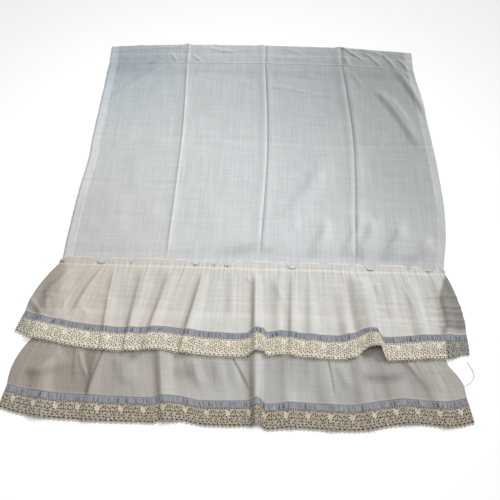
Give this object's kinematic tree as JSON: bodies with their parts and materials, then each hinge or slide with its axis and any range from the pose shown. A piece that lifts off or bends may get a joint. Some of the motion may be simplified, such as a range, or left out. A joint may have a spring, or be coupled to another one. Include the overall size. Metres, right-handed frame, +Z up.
{
  "type": "cafe curtain",
  "caption": "Short white cotton window curtain laid out flat: a panel with a rod pocket and two gathered tiers, each edged with a blue woven band and ecru cotton lace.",
  "frame": {"origin": "centre of the cloth's footprint, on the surface that it lies on", "axes": "+Z up from the surface, +Y from the lace hem towards the rod pocket, +X to the right as seen from the hem"},
  "size_m": [0.8463, 0.929, 0.0192],
  "materials": {
    "panel_cotton": "thin bluish white cotton voile",
    "tier_cotton": "thin ivory cotton voile",
    "woven_band": "grey blue chambray with fine pale stripes",
    "cotton_lace": "ecru torchon lace in matt cotton thread",
    "sewing_thread": "grey sewing thread"
  },
  "bodies": {
    "root": {"panel": "panel_cotton", "heading": "panel_cotton", "upper_ruffle": "tier_cotton", "upper_band": "woven_band", "upper_lace": "cotton_lace", "lower_ruffle": "tier_cotton", "lower_band": "woven_band", "lower_lace": "cotton_lace", "loose_thread": "sewing_thread"}
  },
  "joints": []
}
